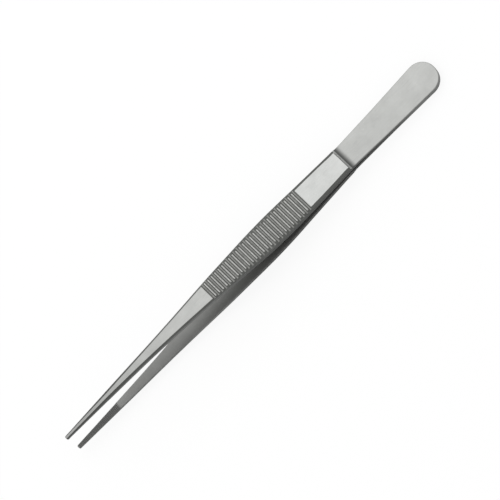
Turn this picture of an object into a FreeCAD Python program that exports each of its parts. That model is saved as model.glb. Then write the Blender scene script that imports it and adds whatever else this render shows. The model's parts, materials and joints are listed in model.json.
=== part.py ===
import FreeCAD, Part
import math
import os

import Sketcher

# Thumb forceps: two spring arms, forged alike and welded face to face at the rounded butt.
# Each arm is drawn lying along +X from the butt to the tip, with its inner face on Z = 0 at
# the heel and its outer face up. The lower arm is the same forging turned over about X.
# All lengths are in millimetres and all angles in degrees.

SIZES = [
    # Places along the arm, measured from the butt end.
    ("total_length", 180.0),
    ("heel_length", 22.6),
    ("step_place", 45.6),
    ("panel_length", 18.5),
    ("jaw_length", 20.2),
    # Side profile: angles of the inner face against the weld plane, and its bends.
    ("spring_angle", 2.0),
    ("grip_angle", 6.0),
    ("front_angle", 2.7),
    ("spring_radius", 120.0),
    ("back_radius", 440.0),
    ("bend_radius", 150.0),
    ("back_bend_reach", 9.9),
    ("front_bend_reach", 1.5),
    ("bow_reach", 18.7),
    # Thickness, and the step from the thin leaf up to the panel.
    ("leaf_thickness", 1.45),
    ("panel_thickness", 2.15),
    ("front_thickness", 1.75),
    ("tip_thickness", 1.3),
    ("tip_nose_radius", 0.45),
    ("step_run", 0.4),
    ("step_foot_radius", 0.8),
    # Plan outline: the widths where the straight sides meet, and how each corner is rounded.
    ("butt_width", 12.6),
    ("neck_width", 9.42),
    ("grip_width", 11.4),
    ("front_width", 4.56),
    ("tip_width", 1.3),
    ("neck_reach", 1.1),
    ("belly_reach", 16.8),
    ("front_reach", 20.7),
    ("neck_radius", 117.0),
    ("belly_radius", 200.0),
    ("front_radius", 800.0),
    # Long bevels beside the outer face: width and depth at the panel, belly, front and tip.
    ("panel_bevel", 0.95),
    ("belly_bevel", 1.5),
    ("collar_bevel", 0.65),
    ("slender_bevel", 0.8),
    ("tip_bevel", 0.3),
    ("bevel_depth", 0.46),
    ("tip_bevel_depth", 0.28),
    # Cross grooves of the thumb grip.
    ("ridge_count", 27),
    ("ridge_pitch", 1.72),
    ("crest_width", 0.46),
    ("groove_depth", 0.3),
    # Fine cross teeth of the jaw.
    ("tooth_pitch", 0.6),
    ("tooth_depth", 0.22),
    ("tooth_land", 0.08),
    # Soft edge of the heel and the spring leaf.
    ("leaf_edge_radius", 0.3),
]

# Waste around the blank, which the outline cuts away.
MARGIN = 2.0
# Share of the butt's half width that the round of its corner takes up. Less than one leaves a
# narrow flat at the very end.
BUTT_ROUNDNESS = 0.97
# Radius of the tip's corners, as a share of its half width.
TIP_ROUNDNESS = 0.9
# Sections that the bevel is drawn through, along the thick part of the arm.
BEVEL_SECTIONS = 18
# Where the teeth of the two jaws start, as shares of a pitch: half a pitch apart, so they mesh.
UPPER_TOOTH_SHIFT = 0.25
LOWER_TOOTH_SHIFT = 0.75
# Pitches left without teeth before the tip.
PLAIN_TEETH = 0.5
# Lengths and volumes closer than this count as equal.
NEARLY = 1e-3

doc = FreeCAD.newDocument("thumb_forceps")
sheet = doc.addObject("Spreadsheet::Sheet", "Sizes")
for row, (alias, value) in enumerate(SIZES, start=1):
    sheet.set(f"A{row}", alias)
    sheet.set(f"B{row}", str(value))
    sheet.setAlias(f"B{row}", alias)
doc.recompute()


def size(alias):
    """Value of one cell of the sheet."""
    return float(sheet.get(alias))


def value_of(expression):
    """Number that an expression on the sheet's sizes gives."""
    return float(sheet.evalExpression(expression))


def plane(body, role):
    """One of the body's own origin planes."""
    return next(p for p in body.Origin.OriginFeatures if p.Role == role)


def new_sketch(body, name, role, offset=0.0):
    """Sketch on one of the body's origin planes, moved off it along its normal."""
    sketch = body.newObject("Sketcher::SketchObject", name)
    sketch.AttachmentSupport = [(plane(body, role), "")]
    sketch.MapMode = "FlatFace"
    sketch.AttachmentOffset = FreeCAD.Placement(FreeCAD.Vector(0, 0, offset), FreeCAD.Rotation())
    return sketch


def bind_point(sketch, item, end, corner):
    """Tie a point of a sketch to the expressions for its two coordinates."""
    for kind, axis, expression in (("DistanceX", -2, corner[0]), ("DistanceY", -1, corner[1])):
        number = value_of(expression)
        if abs(number) < NEARLY:
            sketch.addConstraint(Sketcher.Constraint("PointOnObject", item, end, axis))
        elif number > 0:
            at = sketch.addConstraint(Sketcher.Constraint(kind, -1, 1, item, end, number))
            sketch.setExpression(f"Constraints[{at}]", expression)
        else:
            at = sketch.addConstraint(Sketcher.Constraint(kind, item, end, -1, 1, -number))
            sketch.setExpression(f"Constraints[{at}]", f"-({expression})")


def tangent_points(before, corner, after, radius):
    """Where an arc that rounds a corner leaves its two sides, and the arc's middle."""
    back = (before - corner).normalize()
    ahead = (after - corner).normalize()
    half = back.getAngle(ahead) / 2
    reach = radius / math.tan(half)
    bisector = (back + ahead).normalize()
    middle = corner + bisector * (radius / math.sin(half) - radius)
    return corner + back * reach, middle, corner + ahead * reach


def outline_path(corners):
    """Lines and arcs of a closed outline, from its corners and the radius of each."""
    points = [FreeCAD.Vector(value_of(x), value_of(y), 0) for x, y, radius in corners]
    path = []
    starts = []
    count = len(points)
    for index, point in enumerate(points):
        radius = corners[index][2]
        if radius:
            before = points[index - 1]
            after = points[(index + 1) % count]
            starts.append(tangent_points(before, point, after, value_of(radius)))
        else:
            starts.append((point, None, point))
    for index in range(count):
        arrive, middle, leave = starts[index]
        if middle is not None:
            path.append(("arc", index, arrive, middle, leave))
        path.append(("line", index, leave, starts[(index + 1) % count][0]))
    return path


def draw_outline(sketch, corners):
    """Draw a closed outline of straight runs, round its corners and tie it to the sheet."""
    path = outline_path(corners)
    items = []
    for kind, index, *points in path:
        if kind == "line":
            items.append(sketch.addGeometry(Part.LineSegment(*points), False))
        else:
            items.append(sketch.addGeometry(Part.Arc(*points), False))

    def end_at(item, point):
        """Which end of an item lies at a point."""
        first = sketch.getPoint(item, 1).distanceToPoint(point)
        last = sketch.getPoint(item, 2).distanceToPoint(point)
        return 1 if first < last else 2

    for number, (kind, index, *points) in enumerate(path):
        item = items[number]
        following = items[(number + 1) % len(items)]
        joint = points[-1]
        here = end_at(item, joint)
        there = end_at(following, joint)
        next_kind = path[(number + 1) % len(path)][0]
        bond = "Coincident" if kind == next_kind == "line" else "Tangent"
        sketch.addConstraint(Sketcher.Constraint(bond, item, here, following, there))
    for number, (kind, index, *points) in enumerate(path):
        x, y, radius = corners[index]
        if kind == "arc":
            at = sketch.addConstraint(Sketcher.Constraint("Radius", items[number], value_of(radius)))
            sketch.setExpression(f"Constraints[{at}]", radius)
            place = FreeCAD.Vector(value_of(x), value_of(y), 0)
            mark = sketch.addGeometry(Part.Point(place), True)
            for side in (items[number - 1], items[number + 1]):
                sketch.addConstraint(Sketcher.Constraint("PointOnObject", mark, 1, side))
            bind_point(sketch, mark, 1, (x, y))
        elif not radius:
            bind_point(sketch, items[number], end_at(items[number], points[0]), (x, y))


def height_on(path, place):
    """Height of a chain of lines and arcs at a place along X."""
    for kind, index, *points in path:
        first = points[0]
        last = points[-1]
        if min(first.x, last.x) - NEARLY <= place <= max(first.x, last.x) + NEARLY:
            if kind == "line":
                share = (place - first.x) / (last.x - first.x)
                return first.y + share * (last.y - first.y)
            curve = Part.Circle(*points)
            rise = math.sqrt(curve.Radius**2 - (place - curve.Center.x) ** 2)
            return curve.Center.y + math.copysign(rise, points[1].y - curve.Center.y)
    raise ValueError(f"no part of the outline lies at {place}")


# Places along the arm that both the side profile and the plan use.
GRIP_START = "(Sizes.step_place + Sizes.panel_length)"
GRIP_END = f"({GRIP_START} + Sizes.ridge_count * Sizes.ridge_pitch)"
JAW_START = "(Sizes.total_length - Sizes.jaw_length)"

# Corners of the inner face in the side profile, where its straight runs would meet. The slender
# front runs straight from the grip, and then bows until it lies along the jaw.
HEEL_X = "(Sizes.heel_length + Sizes.spring_radius * tan(Sizes.spring_angle / 2))"
BACK_X = f"({GRIP_START} + Sizes.back_bend_reach)"
BACK_Z = f"(({BACK_X} - {HEEL_X}) * tan(Sizes.spring_angle))"
BEND_X = f"({GRIP_END} - Sizes.front_bend_reach)"
BEND_Z = f"({BACK_Z} + ({BEND_X} - {BACK_X}) * tan(Sizes.grip_angle))"
BOW_HALF = f"(({JAW_START} - {GRIP_END} - Sizes.bow_reach) / (1 + cos(Sizes.front_angle)))"
BOW_RADIUS = f"({BOW_HALF} / tan(Sizes.front_angle / 2))"
FRONT_X = f"({JAW_START} - {BOW_HALF})"
FRONT_Z = f"({BEND_Z} + ({FRONT_X} - {BEND_X}) * tan(Sizes.front_angle))"


def outer_corner(x, z, thickness, angle_before, angle_after):
    """Corner of the outer face, a thickness away from the same corner of the inner face."""
    lean = f"(({angle_before} + {angle_after}) / 2)"
    spread = f"cos(({angle_after} - {angle_before}) / 2)"
    return (
        f"({x} - {thickness} * sin({lean}) / {spread})",
        f"({z} + {thickness} * cos({lean}) / {spread})",
    )


def leaf_height(x, thickness):
    """Height of an outer face that runs at a thickness over the straight spring."""
    rise = f"({x} - {HEEL_X}) * tan(Sizes.spring_angle)"
    return f"({rise} + {thickness} / cos(Sizes.spring_angle))"


STEP_FOOT_X = "(Sizes.step_place - Sizes.step_run)"
THICK_START = f"({STEP_FOOT_X} - Sizes.step_foot_radius)"
BEND_TOP = outer_corner(BEND_X, BEND_Z, "Sizes.panel_thickness", "Sizes.grip_angle", "Sizes.front_angle")
BACK_TOP = outer_corner(BACK_X, BACK_Z, "Sizes.panel_thickness", "Sizes.spring_angle", "Sizes.grip_angle")
HEEL_TOP = outer_corner(HEEL_X, "0", "Sizes.leaf_thickness", "0", "Sizes.spring_angle")

# The thin leaf, from the butt into the thick part behind the step.
LEAF_PROFILE = [
    ("0", "0", None),
    (HEEL_X, "0", "Sizes.spring_radius"),
    ("Sizes.step_place", leaf_height("Sizes.step_place", "0"), None),
    ("Sizes.step_place", leaf_height("Sizes.step_place", "Sizes.leaf_thickness"), None),
    (*HEEL_TOP, "Sizes.spring_radius - Sizes.leaf_thickness"),
    ("0", "Sizes.leaf_thickness", None),
]
# The thick part: its outer face from the tip back to the step, its foot on the leaf, and its
# inner face, which carries the leaf's on.
THICK_FACE = [
    ("Sizes.total_length", f"{FRONT_Z} + Sizes.tip_thickness", "Sizes.tip_nose_radius"),
    (FRONT_X, f"{FRONT_Z} + Sizes.front_thickness", BOW_RADIUS),
    (*BEND_TOP, "Sizes.bend_radius + Sizes.panel_thickness"),
    (*BACK_TOP, "Sizes.back_radius - Sizes.panel_thickness"),
    ("Sizes.step_place", leaf_height("Sizes.step_place", "Sizes.panel_thickness"), None),
]
THICK_PROFILE = THICK_FACE + [
    (STEP_FOOT_X, leaf_height(STEP_FOOT_X, "Sizes.leaf_thickness"), "Sizes.step_foot_radius"),
    (THICK_START, leaf_height(THICK_START, "Sizes.leaf_thickness"), None),
    (THICK_START, leaf_height(THICK_START, "0"), None),
    (BACK_X, BACK_Z, "Sizes.back_radius"),
    (BEND_X, BEND_Z, "Sizes.bend_radius"),
    (FRONT_X, FRONT_Z, BOW_RADIUS),
    ("Sizes.total_length", FRONT_Z, None),
]

# Plan outline of one side, with the waste beyond it. The sides of the leaf lean in from the butt
# to the neck, so the arc that takes up the same share of the butt's end is a little smaller.
NECK_X = "(Sizes.step_place - Sizes.neck_reach)"
LEAF_FALL = "((Sizes.butt_width - Sizes.neck_width) / 2)"
LEAF_SLANT = f"(hypot({NECK_X}; {LEAF_FALL}) - {LEAF_FALL}) / {NECK_X}"
BUTT_RADIUS = f"(Sizes.butt_width / 2 * {BUTT_ROUNDNESS} * {LEAF_SLANT})"
TIP_RADIUS = f"Sizes.tip_width / 2 * {TIP_ROUNDNESS}"
PLAN_SIDE = [
    ("0", "0", None),
    ("0", "Sizes.butt_width / 2", BUTT_RADIUS),
    (NECK_X, "Sizes.neck_width / 2", "Sizes.neck_radius"),
    (f"{GRIP_START} + Sizes.belly_reach", "Sizes.grip_width / 2", "Sizes.belly_radius"),
    (f"{GRIP_END} + Sizes.front_reach", "Sizes.front_width / 2", "Sizes.front_radius"),
    ("Sizes.total_length", "Sizes.tip_width / 2", TIP_RADIUS),
    ("Sizes.total_length", "0", None),
]
WIDEST = "max(Sizes.grip_width; Sizes.butt_width)"
WASTE = [
    (f"Sizes.total_length + {MARGIN}", "0", None),
    (f"Sizes.total_length + {MARGIN}", f"{WIDEST} / 2 + {MARGIN}", None),
    (f"-{MARGIN}", f"{WIDEST} / 2 + {MARGIN}", None),
    (f"-{MARGIN}", "0", None),
]


def settle(feature, base=None):
    """Recompute, and stop if the feature failed or took nothing off its base."""
    doc.recompute()
    if "Invalid" in feature.State or "Error" in feature.State:
        raise RuntimeError(f"{feature.Name} failed")
    if base is not None and feature.Shape.Volume > base.Shape.Volume - NEARLY:
        raise RuntimeError(f"{feature.Name} cut nothing")
    return feature


def add_other_side(body, cut):
    """Repeat a cut across the arm's middle plane."""
    mirrored = body.newObject("PartDesign::Mirrored", f"{cut.Name}_other_side")
    mirrored.Originals = [cut]
    mirrored.MirrorPlane = (plane(body, "XZ_Plane"), [""])
    body.Tip = mirrored
    return settle(mirrored, cut)


def add_slab(body, name, profile):
    """Slab with a side profile, wider than the arm."""
    sketch = new_sketch(body, f"{name}_profile", "XZ_Plane")
    draw_outline(sketch, profile)
    slab = body.newObject("PartDesign::Pad", f"{name}_blank")
    slab.Profile = sketch
    slab.SideType = "Symmetric"
    slab.setExpression("Length", f"{WIDEST} + {MARGIN}")
    return settle(slab)


def add_plan_cut(body, name, base):
    """Cut away what lies outside the plan outline, on both sides."""
    sketch = new_sketch(body, f"{name}_plan", "XY_Plane")
    draw_outline(sketch, PLAN_SIDE + WASTE)
    cut = body.newObject("PartDesign::Pocket", f"{name}_plan_cut")
    cut.Profile = sketch
    cut.SideType = "Symmetric"
    cut.setExpression("Length", f"2 * ({FRONT_Z} + Sizes.panel_thickness + {MARGIN})")
    return add_other_side(body, settle(cut, base))


def sharp(corner):
    """The same corner of an outline, not rounded."""
    return (corner[0], corner[1], None)


def half_width_at(place):
    """Half the arm's width at a place, with the tip taken as square."""
    path = outline_path(PLAN_SIDE[:5] + [sharp(PLAN_SIDE[5]), PLAN_SIDE[6]])
    return height_on(path[1:-2], min(place, size("total_length")))


def thick_face_at(place):
    """Height of the outer face of the panel, grip and front at a place, before the tip's nose."""
    path = outline_path([sharp(THICK_FACE[0])] + THICK_FACE[1:])
    inside = min(max(place, size("step_place")), size("total_length"))
    return height_on(path[:-1], inside)


def between(place, stations):
    """Size at a place, drawn straight between the named stations on either side of it."""
    for (start, first), (end, last) in zip(stations, stations[1:]):
        if place <= end:
            share = max(0.0, (place - start) / (end - start))
            return first + share * (last - first)
    return stations[-1][1]


def draw_loop(sketch, corners):
    """Draw a closed loop of straight lines through the corners."""
    for first, last in zip(corners, corners[1:] + corners[:1]):
        sketch.addGeometry(Part.LineSegment(first, last), False)


def add_bevels(body, base):
    """Cut the two long bevels, which run from the step to the tip and change in width."""
    start = size("step_place") - MARGIN
    end = size("total_length") + MARGIN
    belly = value_of(GRIP_START) + size("belly_reach")
    collar = value_of(GRIP_END)
    widths = [
        (start, size("panel_bevel")),
        (value_of(GRIP_START), size("panel_bevel")),
        (belly, size("belly_bevel")),
        (collar, size("collar_bevel")),
        (collar + size("front_reach"), size("collar_bevel")),
        (value_of(JAW_START), size("slender_bevel")),
        (size("total_length"), size("tip_bevel")),
    ]
    depths = [
        (value_of(FRONT_X), size("bevel_depth")),
        (size("total_length"), size("tip_bevel_depth")),
    ]
    sections = []
    for number in range(BEVEL_SECTIONS):
        place = start + (end - start) * number / (BEVEL_SECTIONS - 1)
        half = half_width_at(place)
        level = thick_face_at(place)
        width = between(place, widths)
        depth = between(place, depths)
        inner = FreeCAD.Vector(half - width, level, 0)
        fall = FreeCAD.Vector(width, -depth, 0)
        crest = inner - fall
        foot = inner + fall * 2
        sketch = new_sketch(body, f"bevel_section_{number + 1}", "YZ_Plane", place)
        draw_loop(sketch, [crest, foot, FreeCAD.Vector(foot.x, crest.y, 0)])
        sections.append(sketch)
    bevel = body.newObject("PartDesign::SubtractiveLoft", "bevel")
    bevel.Profile = sections[0]
    bevel.Sections = sections[1:]
    return add_other_side(body, settle(bevel, base))


def is_leaf_rim(edge):
    """Whether an edge of the leaf borders its outer face at the sides or the butt."""
    middle = edge.valueAt((edge.FirstParameter + edge.LastParameter) / 2)
    ends = [vertex.Point for vertex in edge.Vertexes]
    outside = all(point.z > size("leaf_thickness") - NEARLY for point in (*ends, middle))
    across = middle.x > NEARLY and abs(middle.y) < NEARLY
    return outside and not across


def add_leaf_edge(body, base):
    """Round the rim of the leaf on the outer side."""
    rim = [f"Edge{n}" for n, edge in enumerate(base.Shape.Edges, start=1) if is_leaf_rim(edge)]
    rounding = body.newObject("PartDesign::Fillet", "leaf_edge")
    rounding.Base = (base, rim)
    rounding.setExpression("Radius", "Sizes.leaf_edge_radius")
    return settle(rounding, base)


def add_grip(body, base):
    """Cut the round-bottomed cross grooves of the thumb grip, square to the outer face."""
    pitch = size("ridge_pitch")
    half_mouth = (pitch - size("crest_width")) / 2
    sketch = new_sketch(body, "grip_grooves", "XZ_Plane")
    for number in range(int(size("ridge_count"))):
        place = value_of(GRIP_START) + (number + 0.5) * pitch
        before = FreeCAD.Vector(place - half_mouth, thick_face_at(place - half_mouth), 0)
        after = FreeCAD.Vector(place + half_mouth, thick_face_at(place + half_mouth), 0)
        along = (after - before).normalize()
        outward = FreeCAD.Vector(-along.y, along.x, 0)
        floor = (before + after) / 2 - outward * size("groove_depth")
        above = outward * MARGIN / 2
        sketch.addGeometry(Part.Arc(before, floor, after), False)
        for first, last in (
            (after, after + above),
            (after + above, before + above),
            (before + above, before),
        ):
            sketch.addGeometry(Part.LineSegment(first, last), False)
    grooves = body.newObject("PartDesign::Pocket", "grip")
    grooves.Profile = sketch
    grooves.SideType = "Symmetric"
    grooves.setExpression("Length", f"Sizes.grip_width + {MARGIN}")
    return settle(grooves, base)


def add_teeth(body, base, shift):
    """Cut the fine cross teeth of the jaw's inner face, moved along it by a share of a pitch."""
    start = f"({JAW_START} + {shift} * Sizes.tooth_pitch)"
    mouth = "(Sizes.tooth_pitch - Sizes.tooth_land)"
    sketch = new_sketch(body, "tooth_notch", "XZ_Plane")
    corners = [
        (start, FRONT_Z, None),
        (f"{start} + {mouth} / 2", f"{FRONT_Z} + Sizes.tooth_depth", None),
        (f"{start} + {mouth}", FRONT_Z, None),
        (f"{start} + {mouth} / 2", f"{FRONT_Z} - Sizes.tooth_depth", None),
    ]
    draw_outline(sketch, corners)
    notch = body.newObject("PartDesign::Pocket", "notch")
    notch.Profile = sketch
    notch.SideType = "Symmetric"
    notch.setExpression("Length", f"Sizes.grip_width + {MARGIN}")
    settle(notch, base)
    teeth = body.newObject("PartDesign::LinearPattern", "teeth")
    teeth.Originals = [notch]
    teeth.Direction = (sketch, ["H_Axis"])
    count = f"floor(Sizes.jaw_length / Sizes.tooth_pitch - {shift} - {PLAIN_TEETH})"
    teeth.setExpression("Occurrences", count)
    teeth.setExpression("Length", f"({count} - 1) * Sizes.tooth_pitch")
    body.Tip = teeth
    return settle(teeth, notch)


def make_arm(name, tooth_shift):
    """One forged arm, drawn flat with its outer face up."""
    body = doc.addObject("PartDesign::Body", name)
    body.Label = name
    leaf = add_plan_cut(body, "leaf", add_slab(body, "leaf", LEAF_PROFILE))
    add_leaf_edge(body, leaf)
    thick = add_plan_cut(body, "thick", add_slab(body, "thick", THICK_PROFILE))
    bevels = add_bevels(body, thick)
    grip = add_grip(body, bevels)
    add_teeth(body, grip, tooth_shift)
    return body


def rest_tilt():
    """Angle that lays the lower arm on its butt and on the bend in front of its grip."""
    edge = size("leaf_edge_radius")
    butt = FreeCAD.Vector(edge, size("leaf_thickness") - edge, 0)
    path = outline_path(THICK_FACE)
    bend = next(Part.Circle(*points) for kind, index, *points in path if index == 2 and kind == "arc")
    apart = bend.Center - butt
    return math.degrees(math.atan2(apart.y, apart.x) + math.asin((bend.Radius - edge) / apart.Length))


def lay_down(upper, lower):
    """Lay the welded pair on the lower arm, with the origin under the middle of its box."""
    turn = FreeCAD.Rotation(FreeCAD.Vector(0, 1, 0), -rest_tilt())
    upper.Placement = FreeCAD.Placement(FreeCAD.Vector(), turn)
    over = FreeCAD.Rotation(FreeCAD.Vector(1, 0, 0), 180)
    lower.Placement = FreeCAD.Placement(FreeCAD.Vector(), turn.multiply(over))
    doc.recompute()
    box = Part.makeCompound([upper.Shape, lower.Shape]).optimalBoundingBox(False, False)
    move = FreeCAD.Vector(-(box.XMin + box.XMax) / 2, 0, -box.ZMin)
    for arm in (upper, lower):
        arm.Placement.Base = move


upper_arm = make_arm("upper_arm", UPPER_TOOTH_SHIFT)
lower_arm = make_arm("lower_arm", LOWER_TOOTH_SHIFT)
lay_down(upper_arm, lower_arm)
doc.recompute()

for item in doc.Objects:
    if "Invalid" in item.State or "Error" in item.State:
        raise RuntimeError(f"{item.Name} failed")

os.makedirs("parts", exist_ok=True)
for arm in (upper_arm, lower_arm):
    if arm.Shape.isNull() or not arm.Shape.isValid() or len(arm.Shape.Solids) != 1:
        raise RuntimeError(f"{arm.Label} is not one valid solid")
    arm.Shape.exportStep(f"parts/{arm.Label}.step")
    print(arm.Label, round(arm.Shape.Volume, 3), arm.Shape.optimalBoundingBox(False, False))
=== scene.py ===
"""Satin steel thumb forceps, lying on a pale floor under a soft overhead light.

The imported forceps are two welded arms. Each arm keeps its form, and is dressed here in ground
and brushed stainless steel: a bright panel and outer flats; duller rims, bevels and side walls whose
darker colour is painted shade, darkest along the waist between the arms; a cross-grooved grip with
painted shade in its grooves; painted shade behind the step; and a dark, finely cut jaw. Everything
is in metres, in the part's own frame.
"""

import json
import logging
import math
from dataclasses import dataclass
from enum import Enum

import bmesh
import bpy
from mathutils import Matrix, Vector

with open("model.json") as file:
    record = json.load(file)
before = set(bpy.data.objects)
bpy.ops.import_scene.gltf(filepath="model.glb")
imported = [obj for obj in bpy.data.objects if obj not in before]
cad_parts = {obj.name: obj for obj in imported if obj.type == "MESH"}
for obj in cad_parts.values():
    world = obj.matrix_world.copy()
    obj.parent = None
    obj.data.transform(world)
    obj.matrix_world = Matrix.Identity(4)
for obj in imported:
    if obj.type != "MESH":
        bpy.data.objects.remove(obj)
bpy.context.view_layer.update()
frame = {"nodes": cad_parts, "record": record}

log = logging.getLogger("forceps")

MM = 0.001

Colour = tuple[float, float, float]
Span = tuple[float, float]

WHITE: Colour = (1.0, 1.0, 1.0)
NOISE_MIDDLE = 0.5
GROOVE_MIDDLE = 0.5

# A Mix node has sockets of the same names for numbers, vectors and colours, so its colours go by number.
MIX_SHARE, MIX_FIRST, MIX_LAST, MIX_RESULT = 0, 6, 7, 2


class Face(Enum):
    """The surfaces of an arm that are finished differently, several of them coloured with painted shade."""

    OUTER = "outer flats of the heel, leaf and front"
    # Painted shade: the rounded rims are coloured darker than the outer flats.
    PAINTED_SHADE_RIM = "rounded rims of the heel and the leaf"
    PANEL = "bright panel behind the grip"
    CREST = "crests between the cross grooves"
    PAINTED_SHADE_GROOVE_WALL = "walls of the cross grooves"
    # Painted shade: the walls and floors of the cross grooves are coloured darker than the crests, for the
    # shade in the grooves.
    PAINTED_SHADE_GROOVE_FLOOR = "rounded floors of the cross grooves"
    INNER = "inner flats of the leaf, the grip and the slender front"
    JAW = "toothed inner face at the tip"
    # Painted shade: bevels and side walls are coloured darker than the flats, for the dark surroundings that
    # they would reflect.
    PAINTED_SHADE_BEVEL = "long bevels beside the outer flats"
    PAINTED_SHADE_SIDE = "side walls of the heel and the slender front"
    # Painted shade: the side walls along the waist are coloured nearly black, for the shade between the
    # arms.
    PAINTED_SHADE_WAIST = "side walls of the leaf, the panel and the grip"


@dataclass(frozen=True)
class Steel:
    """Colour and smoothness of one surface of the steel; on some surfaces the colour is painted shade."""

    colour: Colour
    roughness: float


# The dark colours of the rims, groove walls and floors, bevels, side walls and waist walls are painted
# shade.
STEELS: dict[Face, Steel] = {
    Face.OUTER: Steel((0.6, 0.607, 0.59), 0.36),
    Face.PAINTED_SHADE_RIM: Steel((0.33, 0.335, 0.325), 0.4),
    Face.PANEL: Steel((0.71, 0.72, 0.705), 0.32),
    Face.CREST: Steel((0.52, 0.524, 0.506), 0.34),
    Face.PAINTED_SHADE_GROOVE_WALL: Steel((0.16, 0.163, 0.154), 0.46),
    Face.PAINTED_SHADE_GROOVE_FLOOR: Steel((0.3, 0.304, 0.29), 0.4),
    Face.INNER: Steel((0.3, 0.303, 0.294), 0.42),
    Face.JAW: Steel((0.27, 0.273, 0.265), 0.6),
    Face.PAINTED_SHADE_BEVEL: Steel((0.195, 0.2, 0.19), 0.42),
    Face.PAINTED_SHADE_SIDE: Steel((0.13, 0.133, 0.127), 0.46),
    Face.PAINTED_SHADE_WAIST: Steel((0.055, 0.0565, 0.053), 0.5),
}


@dataclass(frozen=True)
class Marks:
    """One kind of small marks: their size along and across the arm, their make-up and their strength."""

    length: float
    width: float
    detail: float
    roughness: float
    strength: float


CLOUDS = Marks(5.5 * MM, 5.5 * MM, detail=3.0, roughness=0.6, strength=0.28)
BRUSHING = Marks(7.0 * MM, 0.16 * MM, detail=2.0, roughness=0.5, strength=0.14)
BEADING = Marks(1.3 * MM, 0.3 * MM, detail=2.0, roughness=0.6, strength=1.0)
HAIRLINES = Marks(30.0 * MM, 0.6 * MM, detail=1.0, roughness=0.5, strength=0.07)
SPECKS = Marks(0.36 * MM, 0.36 * MM, detail=0.0, roughness=0.5, strength=0.16)
GRAIN = Marks(0.6 * MM, 0.2 * MM, detail=2.0, roughness=0.6, strength=0.0004 * MM)


class Value:
    """A shader socket that is added, multiplied and compared like a number."""

    def __init__(self, board: "Board", socket: bpy.types.NodeSocket) -> None:
        """Wrap a socket.

        Args:
            board: the node board that the socket is on.
            socket: an output socket.
        """
        self.board = board
        self.socket = socket

    def math(self, operation: str, *others: "Value | float") -> "Value":
        """Add a Math node.

        Args:
            operation: the node's operation.
            others: the values after this one.

        Returns:
            The node's result.
        """
        return self.board.node("ShaderNodeMath", {"operation": operation}, [self, *others])

    def __add__(self, other: "Value | float") -> "Value":
        """Sum."""
        return self.math("ADD", other)

    def __radd__(self, other: float) -> "Value":
        """Sum, with a number first."""
        return self.math("ADD", other)

    def __sub__(self, other: "Value | float") -> "Value":
        """Difference."""
        return self.math("SUBTRACT", other)

    def __rsub__(self, other: float) -> "Value":
        """Difference from a number."""
        return self.board.node("ShaderNodeMath", {"operation": "SUBTRACT"}, [other, self])

    def __mul__(self, other: "Value | float") -> "Value":
        """Product."""
        return self.math("MULTIPLY", other)

    def __rmul__(self, other: float) -> "Value":
        """Product, with a number first."""
        return self.math("MULTIPLY", other)

    def __truediv__(self, other: "Value | float") -> "Value":
        """Quotient."""
        return self.math("DIVIDE", other)

    def __gt__(self, other: "Value | float") -> "Value":
        """One where this is greater, and zero elsewhere."""
        return self.math("GREATER_THAN", other)

    def __lt__(self, other: "Value | float") -> "Value":
        """One where this is less, and zero elsewhere."""
        return self.math("LESS_THAN", other)

    def __abs__(self) -> "Value":
        """Size without its sign."""
        return self.math("ABSOLUTE")

    def sign(self) -> "Value":
        """Minus one below zero, and one above it."""
        return self.math("SIGN")

    def fraction(self) -> "Value":
        """What is left after the whole number."""
        return self.math("FRACT")

    def rise(self, low: float, high: float) -> "Value":
        """Smooth step.

        Args:
            low: where it leaves zero.
            high: where it reaches one.

        Returns:
            A value from zero to one.
        """
        settings = {"interpolation_type": "SMOOTHSTEP"}
        sockets = {"Value": self, "From Min": low, "From Max": high}
        return self.board.node("ShaderNodeMapRange", settings, sockets)


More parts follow.
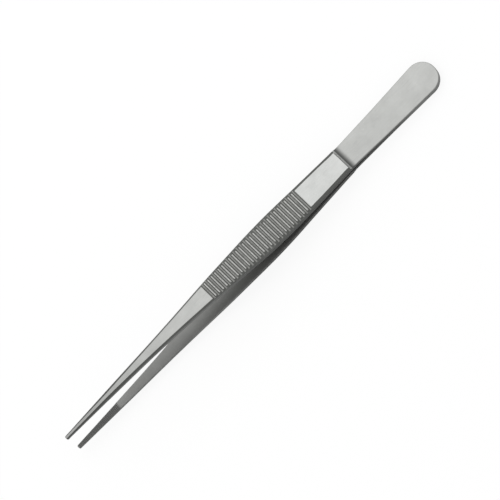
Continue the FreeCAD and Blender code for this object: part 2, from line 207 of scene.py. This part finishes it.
class Board:
    """The nodes of one material."""

    def __init__(self, name: str) -> None:
        """Start an empty material.

        Args:
            name: the material's name.
        """
        self.material = bpy.data.materials.new(name)
        self.material.use_nodes = True
        self.tree = self.material.node_tree
        self.tree.nodes.clear()

    def add(
        self,
        kind: str,
        settings: dict[str, object],
        values: "list[object] | dict[str | int, object]",
    ) -> bpy.types.Node:
        """Add a node, set it up and feed its sockets.

        Args:
            kind: the node's type.
            settings: attributes of the node, set first.
            values: numbers, tuples or Values for its input sockets, in order, by name or by number.

        Returns:
            The node.
        """
        made = self.tree.nodes.new(kind)
        for key, setting in settings.items():
            setattr(made, key, setting)
        pairs = values.items() if isinstance(values, dict) else enumerate(values)
        for key, value in pairs:
            if isinstance(value, Value):
                self.tree.links.new(value.socket, made.inputs[key])
            else:
                made.inputs[key].default_value = value
        return made

    def node(
        self,
        kind: str,
        settings: dict[str, object],
        values: "list[object] | dict[str | int, object]",
        output: "str | int" = 0,
    ) -> Value:
        """Add a node and take one of its outputs.

        Args:
            kind: the node's type.
            settings: attributes of the node, set first.
            values: numbers, tuples or Values for its input sockets, in order, by name or by number.
            output: the output socket that is wanted.

        Returns:
            That output.
        """
        return Value(self, self.add(kind, settings, values).outputs[output])

    def scale(self, vector: Value, share: Value) -> Value:
        """A colour or vector times a value."""
        return self.node("ShaderNodeVectorMath", {"operation": "SCALE"}, {0: vector, "Scale": share})

    def dot(self, vector: Value, other: "Value | Vector") -> Value:
        """Length of a vector along a direction.

        Args:
            vector: the vector that is measured.
            other: the direction, of length one.

        Returns:
            The length.
        """
        direction = tuple(other) if isinstance(other, Vector) else other
        return self.node("ShaderNodeVectorMath", {"operation": "DOT_PRODUCT"}, [vector, direction], "Value")

    def blend(self, share: Value, first: "Value | Colour", last: Colour) -> Value:
        """Mix of two colours.

        Args:
            share: zero for the first colour, one for the last.
            first: a colour, as a Value or three numbers.
            last: a colour.

        Returns:
            The colour between them.
        """
        start = first if isinstance(first, Value) else (*first, 1.0)
        sockets = {MIX_SHARE: share, MIX_FIRST: start, MIX_LAST: (*last, 1.0)}
        return self.node("ShaderNodeMix", {"data_type": "RGBA"}, sockets, MIX_RESULT)

    def finish(self, surface: Value) -> bpy.types.Material:
        """Show a shader.

        Args:
            surface: the shader's output.

        Returns:
            The material.
        """
        self.add("ShaderNodeOutputMaterial", {}, {"Surface": surface})
        return self.material


@dataclass(frozen=True)
class ArmAxes:
    """The line that both arms leave from at the butt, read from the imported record."""

    butt: Vector
    along: Vector
    across: Vector
    upward: Vector
    length: float

    @classmethod
    def from_frame(cls) -> "ArmAxes":
        """Find the weld plane between the two heel faces, and the ends of the arms on it.

        Returns:
            The axes, with the butt at the end of the weld plane.
        """
        mounts = {mount["name"]: mount for mount in frame["record"]["mounts"]}
        upper, lower = mounts["upper_heel_face"], mounts["lower_heel_face"]
        upward = Vector(upper["axis"]).normalized()
        across = Vector((0.0, 1.0, 0.0))
        along = across.cross(upward).normalized()
        middle = (Vector(upper["pos_m"]) + Vector(lower["pos_m"])) / 2
        reach = [vertex.co.dot(along) for node in frame["nodes"].values() for vertex in node.data.vertices]
        butt = middle + along * (min(reach) - middle.dot(along))
        return cls(butt, along, across, upward, max(reach) - min(reach))

    def point(self, along: float, across: float, upward: float) -> Vector:
        """A place beside the arms.

        Args:
            along: how far from the butt towards the tips.
            across: how far to the side.
            upward: how far above the weld plane.

        Returns:
            The point in the part's frame.
        """
        return self.butt + self.along * along + self.across * across + self.upward * upward


@dataclass
class Spot:
    """Where a shaded point lies on its arm, as values of a node board."""

    along: Value
    across: Value
    height: Value
    outward: Value
    sideways: Value

    @classmethod
    def on(cls, board: Board, axes: ArmAxes) -> "Spot":
        """Measure the point and the direction that its face looks in.

        Args:
            board: the material's nodes.
            axes: the arms' axes.

        Returns:
            The spot: places in metres, directions from minus one to one.
        """
        place = board.node("ShaderNodeTexCoord", {}, [], "Object")
        normal = board.node("ShaderNodeNewGeometry", {}, [], "Normal")
        along = board.dot(place, axes.along) - axes.butt.dot(axes.along)
        across = board.dot(place, axes.across)
        height = board.dot(place, axes.upward) - axes.butt.dot(axes.upward)
        outward = board.dot(normal, axes.upward) * height.sign()
        return cls(along, across, height, outward, abs(board.dot(normal, axes.across)))

    def between(self, start: float, end: float) -> Value:
        """One between two stations along the arm, and zero elsewhere."""
        return (self.along > start) * (self.along < end)

    def noise(self, board: Board, marks: Marks) -> Value:
        """Smooth noise, drawn out to the size of some marks.

        Args:
            board: the material's nodes.
            marks: the marks that it is for.

        Returns:
            A value about zero.
        """
        sizes = (marks.length, marks.width, marks.width)
        parts = [place / size for place, size in zip((self.along, self.across, self.height), sizes)]
        place = board.node("ShaderNodeCombineXYZ", {}, parts)
        sockets = {"Vector": place, "Scale": 1.0, "Detail": marks.detail, "Roughness": marks.roughness}
        return board.node("ShaderNodeTexNoise", {}, sockets, "Fac") - NOISE_MIDDLE


@dataclass
class ForgedArms:
    """The two arms and their steel.

    Stations are measured from the butt. Directions are the share of a face's normal that points
    away from the weld plane or to the side. Grooves are measured in pitches from their middle.
    """

    axes: ArmAxes
    heel_end: float = 12.0 * MM
    waist_start: float = 28.0 * MM
    step: float = 45.6 * MM
    step_run: float = 0.4 * MM
    grip_start: float = 64.1 * MM
    grip_end: float = 110.54 * MM
    waist_end: float = 84.0 * MM
    slender_start: float = 116.0 * MM
    jaw_start: float = 159.8 * MM

    flat_limit: float = 0.35
    bevel_limit: float = 0.2
    rim_fade: Span = (0.6, 0.98)

    ridge_count: int = 27
    groove_floor: Span = (0.1, 0.24)
    groove_wall: Span = (0.32, 0.38)

    # Painted shade at the foot of the step: the outer flats just behind the panel are darkened.
    painted_step_shade_fade: Span = (42.4 * MM, 44.7 * MM)
    painted_step_shade_end: Span = (44.65 * MM, 45.15 * MM)
    painted_step_shade_darkness: float = 0.8
    tip_darkening: float = 0.24
    hairline_fade: Span = (0.0, 0.012)
    speck_fade: Span = (0.28, 0.34)
    dull_roughness: float = 0.2

    crown_radius: float = 80.0 * MM
    edge_radius: float = 0.12 * MM
    edge_samples: int = 4
    edge_turn: Span = (0.004, 0.12)
    edge_polish: float = 0.2

    def finish_masks(self, spot: Spot) -> dict[Face, Value]:
        """Work out which finish or painted shade shows where.

        Args:
            spot: the shaded point.

        Returns:
            A mask from zero to one for each finish, in the order that they are laid on.
        """
        along, outward = spot.along, spot.outward
        pitch = (self.grip_end - self.grip_start) / self.ridge_count
        from_floor = abs(((along - self.grip_start) / pitch).fraction() - GROOVE_MIDDLE)
        grip = spot.between(self.grip_start, self.grip_end)
        inner = outward < -self.flat_limit
        side = abs(outward) < self.flat_limit
        step_top = self.step - self.step_run
        # Painted shade on the bevels beside the outer flats.
        painted_shade_bevel = (spot.sideways > self.bevel_limit) * (outward > self.flat_limit)
        # Painted shade along the waist, where the arms run close together.
        painted_shade_waist = along.rise(self.heel_end, self.waist_start)
        painted_shade_waist = painted_shade_waist * (1.0 - along.rise(self.waist_end, self.slender_start))
        return {
            # Painted shade on the rounded rims behind the step.
            Face.PAINTED_SHADE_RIM: (along < step_top) * (1.0 - outward.rise(*self.rim_fade)),
            Face.PANEL: spot.between(self.step, self.grip_start),
            Face.CREST: grip,
            # Painted shade in the cross grooves: darker walls and floors.
            Face.PAINTED_SHADE_GROOVE_WALL: grip * (1.0 - from_floor.rise(*self.groove_wall)),
            Face.PAINTED_SHADE_GROOVE_FLOOR: grip * (1.0 - from_floor.rise(*self.groove_floor)),
            Face.INNER: inner,
            Face.JAW: inner * (along > self.jaw_start),
            # Painted shade on the bevels and the side walls.
            Face.PAINTED_SHADE_BEVEL: painted_shade_bevel * (along > step_top),
            Face.PAINTED_SHADE_SIDE: side,
            # Painted shade, darkest, on the waist's side walls.
            Face.PAINTED_SHADE_WAIST: side * painted_shade_waist,
        }

    def wear(self, board: Board, spot: Spot) -> Value:
        """Clouds, brushing, hairlines and specks, the darkening towards the tips and the painted shade
        behind the step.

        Args:
            board: the material's nodes.
            spot: the shaded point.

        Returns:
            A share that the colour is multiplied by.
        """
        outer = spot.outward > self.flat_limit
        beaded = spot.between(self.grip_start, self.grip_end) * outer
        hairs = 1.0 - abs(spot.noise(board, HAIRLINES)).rise(*self.hairline_fade)
        specks = spot.noise(board, SPECKS).rise(*self.speck_fade)
        share = 1.0 + spot.noise(board, CLOUDS) * CLOUDS.strength
        share = share + spot.noise(board, BRUSHING) * BRUSHING.strength
        share = share + beaded * spot.noise(board, BEADING) * BEADING.strength
        share = share - hairs * HAIRLINES.strength + specks * SPECKS.strength
        # Painted shade behind the step.
        painted_step_shade = spot.along.rise(*self.painted_step_shade_fade) * (1.0 - spot.along.rise(*self.painted_step_shade_end)) * outer
        # Darker towards the tips on all but the inner faces; the lost share also makes them rougher.
        dull = spot.along.rise(self.slender_start, self.axes.length) * (spot.outward > -self.flat_limit)
        return share * (1.0 - dull * self.tip_darkening) * (1.0 - painted_step_shade * self.painted_step_shade_darkness)

    def edges(self, board: Board, rounded: Value) -> Value:
        """How near the edges a point lies, where handling has polished them.

        Args:
            board: the material's nodes.
            rounded: the surface's direction, with its edges rounded.

        Returns:
            One on an edge, and zero on a flat.
        """
        flat = board.node("ShaderNodeNewGeometry", {}, [], "True Normal")
        return (1.0 - board.dot(rounded, flat)).rise(*self.edge_turn)

    def relief(self, board: Board, spot: Spot, rounded: Value) -> Value:
        """Rounded edges, crowned flats and fine grain.

        Args:
            board: the material's nodes.
            spot: the shaded point.
            rounded: the surface's direction, with its edges rounded.

        Returns:
            The surface's normal.
        """
        crown = spot.across * spot.across * (-0.5 / self.crown_radius)
        height = crown + spot.noise(board, GRAIN) * GRAIN.strength
        sockets = {"Strength": 1.0, "Distance": 1.0, "Height": height, "Normal": rounded}
        return board.node("ShaderNodeBump", {}, sockets)

    def steel(self) -> bpy.types.Material:
        """The forged and ground steel of both arms.

        Returns:
            The material.
        """
        board = Board("satin_steel_forceps")
        spot = Spot.on(board, self.axes)
        colour: Value | Colour = STEELS[Face.OUTER].colour
        roughness: Value | float = STEELS[Face.OUTER].roughness
        for face, mask in self.finish_masks(spot).items():
            colour = board.blend(mask, colour, STEELS[face].colour)
            roughness = mask * STEELS[face].roughness + (1.0 - mask) * roughness
        rounded = board.node("ShaderNodeBevel", {"samples": self.edge_samples}, {"Radius": self.edge_radius})
        wear = self.wear(board, spot) + self.edges(board, rounded) * self.edge_polish
        sockets = {
            "Base Color": board.scale(colour, wear),
            "Metallic": 1.0,
            "Roughness": roughness + (1.0 - wear) * self.dull_roughness,
            "Normal": self.relief(board, spot, rounded),
        }
        return board.finish(board.node("ShaderNodeBsdfPrincipled", {}, sockets))

    def build(self) -> None:
        """Dress both arms."""
        steel = self.steel()
        for name, node in frame["nodes"].items():
            for slot in node.material_slots:
                slot.material = steel
            log.info("%s dressed: %d faces", name, len(node.data.polygons))


@dataclass
class Viewpoint:
    """The camera over the forceps, turned so that their tips point to the lower left."""

    axes: ArmAxes
    lean: float = math.radians(20.0)
    run_right: float = -0.6935
    run_up: float = -0.7205
    aim_along: float = 89.545 * MM
    aim_down: float = -2.085 * MM
    distance: float = 1.7
    frame_width: float = 172.46 * MM

    def build(self) -> None:
        """Place the camera."""
        axes = self.axes
        back = axes.upward * math.cos(self.lean) + axes.across * math.sin(self.lean)
        down_slope = axes.across * math.cos(self.lean) - axes.upward * math.sin(self.lean)
        right = axes.along * self.run_right - down_slope * self.run_up
        up = axes.along * self.run_up + down_slope * self.run_right
        aim = axes.point(self.aim_along, 0.0, 0.0) + down_slope * self.aim_down
        place = aim + back * self.distance
        camera = bpy.data.objects.new("camera", bpy.data.cameras.new("camera"))
        camera.data.lens = camera.data.sensor_width * self.distance / self.frame_width
        camera.matrix_world = Matrix.Translation(place) @ Matrix((right, up, back)).transposed().to_4x4()
        bpy.context.scene.collection.objects.link(camera)
        bpy.context.scene.camera = camera
        log.info("camera at %s", tuple(round(value, 3) for value in place))


@dataclass
class Studio:
    """Pale floor, one soft box high up beside the forceps, and a dim even room."""

    axes: ArmAxes
    floor_size: float = 6.0
    floor_colour: Colour = (0.22, 0.22, 0.22)
    floor_fill: float = 0.86
    room: float = 0.5
    box_size: float = 1.3
    box_height: float = 1.0
    box_lean: float = math.radians(28.0)
    box_power: float = 2.5

    def floor_finish(self) -> bpy.types.Material:
        """White to the eye, in reflections and through glass, and dull to the light that it gives back.

        Returns:
            The material.
        """
        board = Board("pale_floor")
        camera, glossy, through = (
            board.node("ShaderNodeLightPath", {}, [], f"Is {kind} Ray")
            for kind in ("Camera", "Glossy", "Transmission")
        )
        matt = board.node("ShaderNodeBsdfDiffuse", {}, {"Color": (*self.floor_colour, 1.0)})
        glow = board.node("ShaderNodeEmission", {}, {"Strength": self.floor_fill})
        both = board.node("ShaderNodeAddShader", {}, [matt, glow])
        return board.finish(board.node("ShaderNodeMixShader", {}, [camera + glossy + through, matt, both]))

    def floor(self) -> None:
        """Lay the floor, which keeps the shadow."""
        shape = bmesh.new()
        bmesh.ops.create_grid(shape, x_segments=1, y_segments=1, size=self.floor_size / 2)
        mesh = bpy.data.meshes.new("floor")
        shape.to_mesh(mesh)
        shape.free()
        mesh.materials.append(self.floor_finish())
        floor = bpy.data.objects.new("floor", mesh)
        bpy.context.scene.collection.objects.link(floor)

    def lights(self) -> None:
        """Hang the soft box and light the room."""
        world = bpy.data.worlds.new("room")
        world.use_nodes = True
        background = world.node_tree.nodes["Background"]
        background.inputs["Color"].default_value = (*WHITE, 1.0)
        background.inputs["Strength"].default_value = self.room
        bpy.context.scene.world = world
        lamp = bpy.data.lights.new("soft_box", "AREA")
        lamp.shape = "SQUARE"
        lamp.size = self.box_size
        lamp.energy = self.box_power
        away = self.axes.upward * math.cos(self.box_lean) - self.axes.across * math.sin(self.box_lean)
        box = bpy.data.objects.new("soft_box", lamp)
        box.location = self.axes.point(self.axes.length / 2, 0.0, 0.0) + away * self.box_height
        box.rotation_mode = "QUATERNION"
        box.rotation_quaternion = away.to_track_quat("Z", "Y")
        bpy.context.scene.collection.objects.link(box)

    def build(self) -> None:
        """Set the stage."""
        self.floor()
        self.lights()
        bpy.context.scene.view_settings.view_transform = "Standard"
        log.info("floor, soft box and room are set")


def main() -> None:
    """Build the camera, the forceps and the studio."""
    logging.basicConfig(level=logging.INFO, format="%(message)s")
    axes = ArmAxes.from_frame()
    log.info("arms are %.4f m long", axes.length)
    Viewpoint(axes).build()
    ForgedArms(axes).build()
    Studio(axes).build()


if __name__ == "__main__":
    main()
